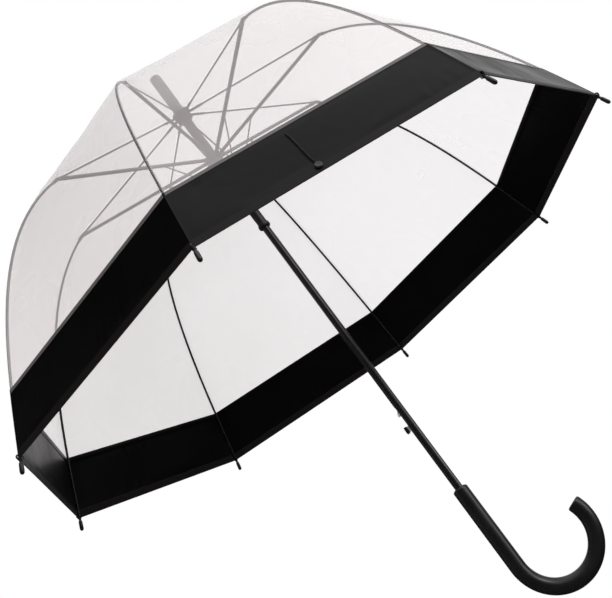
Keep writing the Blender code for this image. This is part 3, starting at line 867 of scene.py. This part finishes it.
def make_latch():
    """The sprung leaf with its ramped catch and wide stem, and the button on the stem."""
    low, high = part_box("latch_leaf")
    button_low, button_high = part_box("release_button")
    inside, face, out = high.x, high.x - 0.0007, low.x
    leaf = Shape()
    leaf.plate([(inside, low.z), (inside, high.z), (face, high.z), (face, low.z)], -0.0014, 0.0014)
    catch = [(face + 0.0002, high.z), (out + 0.0012, high.z - 0.0054), (out, high.z - 0.0078)]
    catch += [(out, high.z - 0.0092), (out + 0.0005, high.z - 0.0097), (face + 0.0002, high.z - 0.0097)]
    leaf.plate(catch, -0.0013, 0.0013)
    stem = [(face + 0.0002, button_low.z + 0.0008), (button_high.x - 0.0005, button_low.z + 0.0008)]
    stem += [(button_high.x - 0.0005, button_high.z - 0.0006), (face + 0.0002, button_high.z - 0.0006)]
    leaf.plate(stem, -0.0013, 0.0013)
    piece("leaf", leaf.mesh("leaf"), STEEL, "latch", 0.0, ("latch_leaf",))
    cap = Shape()
    spread = Vector((0.0, 0.0004, 0.0001))
    rounded_block(cap, button_low - spread, button_high + spread, 0.0008)
    for rib in (-1.5, -0.5, 0.5, 1.5):
        z = (button_low.z + button_high.z) / 2 + 0.0014 * rib
        line = [(button_low.x, y, z) for y in (-0.0019, 0.0, 0.0019)]
        cap.wire(line, 0.00028, 8)
    piece("button", cap.mesh("button"), PLASTIC, "latch", 0.0, ("release_button",))


def make_runner_flange():
    """The lower runner's end: a soft round flange and a step, which the latch's catch holds."""
    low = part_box("lower_runner")[0].z
    outline = [(0.0056, low - 0.0001), (0.0066, low - 0.0001), (0.0075, low + 0.0003)]
    outline += [(0.0080, low + 0.0012), (0.0082, low + 0.0026), (0.0080, low + 0.0041)]
    outline += [(0.0075, low + 0.0050), (0.0069, low + 0.0055), (0.00672, low + 0.0060)]
    outline += [(0.0056, low + 0.0060)]
    shape = Shape()
    shape.turned(outline, sides=64, ring=True)
    piece("runner_flange", shape.mesh("runner_flange"), PLASTIC, "lower_runner")


def make_strap():
    """The closing strap lies on the border of one gore, from near its weld to a stud on the hem."""
    azimuth = FIRST_RIB + (STRAP_GORE - 0.5) * SECTOR
    body = f"canopy_side_{STRAP_GORE}"
    section = [(-0.0008, 0.0), (-0.0008, 0.0003), (-0.0004, 0.0006)]
    section += [(-side, up) for side, up in reversed(section)]
    shape = Shape()
    rows = []
    for i in range(25):
        t = STRAP_START + (STRAP_END - STRAP_START) * i / 24
        point, slope = outer_seam(t)
        middle = (point.x * math.cos(HALF), point.y)
        rise = 0.0013 + 0.0003 * math.sin(math.pi * i / 24)
        drift = STRAP_SIDE + 0.0004 * math.sin(2.2 * math.pi * i / 24)
        row = []
        for side, up in section:
            place = lifted(middle, slope, rise + up)
            row.append((place.x, side + drift, place.y))
        rows.append(row)
    shape.rows(rows, closed=True, caps=True)
    strap = piece("strap", shape.mesh("strap"), WEBBING, body, azimuth, ("closing_strap",))

    point, slope = outer_seam(STUD_PLACE)
    centre = lifted((point.x * math.cos(HALF), point.y), slope, 0.0014)
    stud = Shape()
    outline = [(0.0040, 0.0), (0.0041, 0.0006), (0.0038, 0.0011), (0.0031, 0.0014), (0.0022, 0.0015)]
    outline += [(0.0016, 0.0013), (0.0008, 0.0012), (0.0, 0.0012)]
    stud.turned([(0.0, 0.0), *outline], sides=32)
    mesh = stud.mesh("stud")
    mesh.transform(Matrix.Translation((centre.x, STRAP_SIDE, centre.y)) @ Matrix.Rotation(slope, 4, "Y"))
    button = piece("stud", mesh, PLASTIC, body, azimuth, ("strap_stud",))
    for obj in (strap, button):
        fold_flat(obj)


def dress_cad_nodes():
    """Finishes for the CAD nodes that stay in view."""
    finishes = {
        "shaft_tube": LACQUER,
        "canopy_cap": PLASTIC,
        "crown": PLASTIC,
        "upper_runner": PLASTIC,
        "lower_runner": PLASTIC,
    }
    for node, material in finishes.items():
        obj = frame["nodes"][node]
        obj.data.materials.clear()
        obj.data.materials.append(material)


# Studio -------------------------------------------------------------------------------------------

CAMERA_PLACE = (-0.0112, -1.2072, -0.0479)
CAMERA_RIGHT = Vector((0.8039, 0.1806, -0.5667))
CAMERA_UP = Vector((0.5933, -0.3101, 0.7429))
CAMERA_LENS = 59.71
CAMERA_SHIFT_Y = -0.1193


def make_camera():
    data = bpy.data.cameras.new("camera")
    data.lens = CAMERA_LENS
    data.sensor_width = 36.0
    data.shift_y = CAMERA_SHIFT_Y
    data.clip_start = 0.05
    camera = bpy.data.objects.new("camera", data)
    right = CAMERA_RIGHT.normalized()
    back = right.cross(CAMERA_UP).normalized()
    up = back.cross(right)
    turn = Matrix((right, up, back)).transposed().to_4x4()
    camera.matrix_world = Matrix.Translation(CAMERA_PLACE) @ turn
    bpy.context.scene.collection.objects.link(camera)
    bpy.context.scene.camera = camera


def make_world():
    """White behind the object, soft light on it, and dark walls with bright patches in its reflections."""
    world = bpy.data.worlds.new("studio")
    bpy.context.scene.world = world
    world.use_nodes = True
    world.cycles.sampling_method = "NONE"
    tree = world.node_tree
    tree.nodes.clear()

    def node(kind, **settings):
        made = tree.nodes.new(kind)
        for name, value in settings.items():
            setattr(made, name, value)
        return made

    direction = node("ShaderNodeTexCoord").outputs["Generated"]

    def lobe(towards_light, strength, wide, soft):
        """A soft bright patch of wall in one direction, wide and soft in degrees."""
        dot = node("ShaderNodeVectorMath", operation="DOT_PRODUCT")
        dot.inputs[1].default_value = Vector(towards_light).normalized()
        tree.links.new(direction, dot.inputs[0])
        ramp = node("ShaderNodeMapRange", interpolation_type="SMOOTHSTEP")
        ramp.inputs["From Min"].default_value = math.cos(math.radians(wide + soft))
        ramp.inputs["From Max"].default_value = math.cos(math.radians(wide))
        ramp.inputs["To Max"].default_value = strength
        tree.links.new(dot.outputs["Value"], ramp.inputs["Value"])
        return ramp.outputs["Result"]

    def total(base, parts):
        for part in parts:
            add = node("ShaderNodeMath", operation="ADD")
            if isinstance(base, float):
                add.inputs[0].default_value = base
            else:
                tree.links.new(base, add.inputs[0])
            tree.links.new(part, add.inputs[1])
            base = add.outputs["Value"]
        return base

    def background(strength, colour=(1.0, 1.0, 1.0)):
        made = node("ShaderNodeBackground")
        made.inputs["Color"].default_value = (*colour, 1.0)
        if isinstance(strength, float):
            made.inputs["Strength"].default_value = strength
        else:
            tree.links.new(strength, made.inputs["Strength"])
        return made.outputs["Background"]

    reflected = total(0.004, [
        lobe((0.39, -0.20, 0.90), 1.25, 14, 34),
        lobe((0.15, 0.93, 0.32), 0.95, 18, 26),
        lobe((0.90, -0.25, 0.36), 0.42, 24, 26),
        lobe((0.05, 0.35, 0.93), 0.40, 8, 22),
        lobe((-0.93, -0.05, 0.36), 0.30, 8, 18),
    ])  # fmt: skip
    lit = total(0.0, [lobe((-0.85, -0.25, -0.45), 1.9, 12, 42), lobe((0.45, -0.45, 0.77), 1.8, 12, 42)])
    soft = node("ShaderNodeAddShader")
    tree.links.new(background(0.24, (1.0, 0.74, 0.78)), soft.inputs[0])
    tree.links.new(background(lit), soft.inputs[1])
    rays = node("ShaderNodeLightPath")
    glossy = node("ShaderNodeMixShader")
    tree.links.new(rays.outputs["Is Glossy Ray"], glossy.inputs[0])
    tree.links.new(soft.outputs["Shader"], glossy.inputs[1])
    tree.links.new(background(reflected), glossy.inputs[2])
    seen = node("ShaderNodeMixShader")
    tree.links.new(rays.outputs["Is Camera Ray"], seen.inputs[0])
    tree.links.new(glossy.outputs["Shader"], seen.inputs[1])
    tree.links.new(background(1.0), seen.inputs[2])
    tree.links.new(seen.outputs["Shader"], node("ShaderNodeOutputWorld").inputs["Surface"])


def make_lights():
    """Softboxes above and to the right, for highlights along the handle and the shaft."""
    for name, place, size, power in (
        ("softbox_top", (1.7, -1.2, 1.1), 0.8, 9.0),
        ("softbox_right", (1.8, -0.6, 0.2), 0.6, 4.0),
    ):
        data = bpy.data.lights.new(name, "AREA")
        data.shape = "DISK"
        data.size = size
        data.energy = power
        light = bpy.data.objects.new(name, data)
        light.location = place
        light.rotation_euler = (Vector((0, 0, 0.2)) - Vector(place)).to_track_quat("-Z", "Y").to_euler()
        bpy.context.scene.collection.objects.link(light)


def make_floor():
    """A pale floor, low enough to leave the underside in view from below."""
    floor = Shape()
    floor.turned([(0.0, -2.80), (6.0, -2.80), (6.0, -2.82), (0.0, -2.82)], sides=96)
    m = Nodes("floor", Roughness=0.6)
    m.colours(m.noise(3.0, 2.0), (0.90, 0.90, 0.895), (0.93, 0.93, 0.925))
    mesh = floor.mesh("floor")
    mesh.materials.append(m.material)
    obj = bpy.data.objects.new("floor", mesh)
    bpy.context.scene.collection.objects.link(obj)
    # The dark film reflects dark cards, not the floor
    obj.visible_glossy = False
    obj.visible_diffuse = False


def make_studio():
    scene = bpy.context.scene
    scene.view_settings.view_transform = "Standard"
    scene.cycles.use_denoising = True
    scene.cycles.transparent_max_bounces = 32
    make_world()
    make_lights()
    make_floor()


make_camera()
for number in range(1, RIBS + 1):
    make_gore(number)
make_seams()
make_frame()
make_handle()
make_ferrule()
make_spring()
make_latch()
make_runner_flange()
make_strap()
dress_cad_nodes()
make_studio()
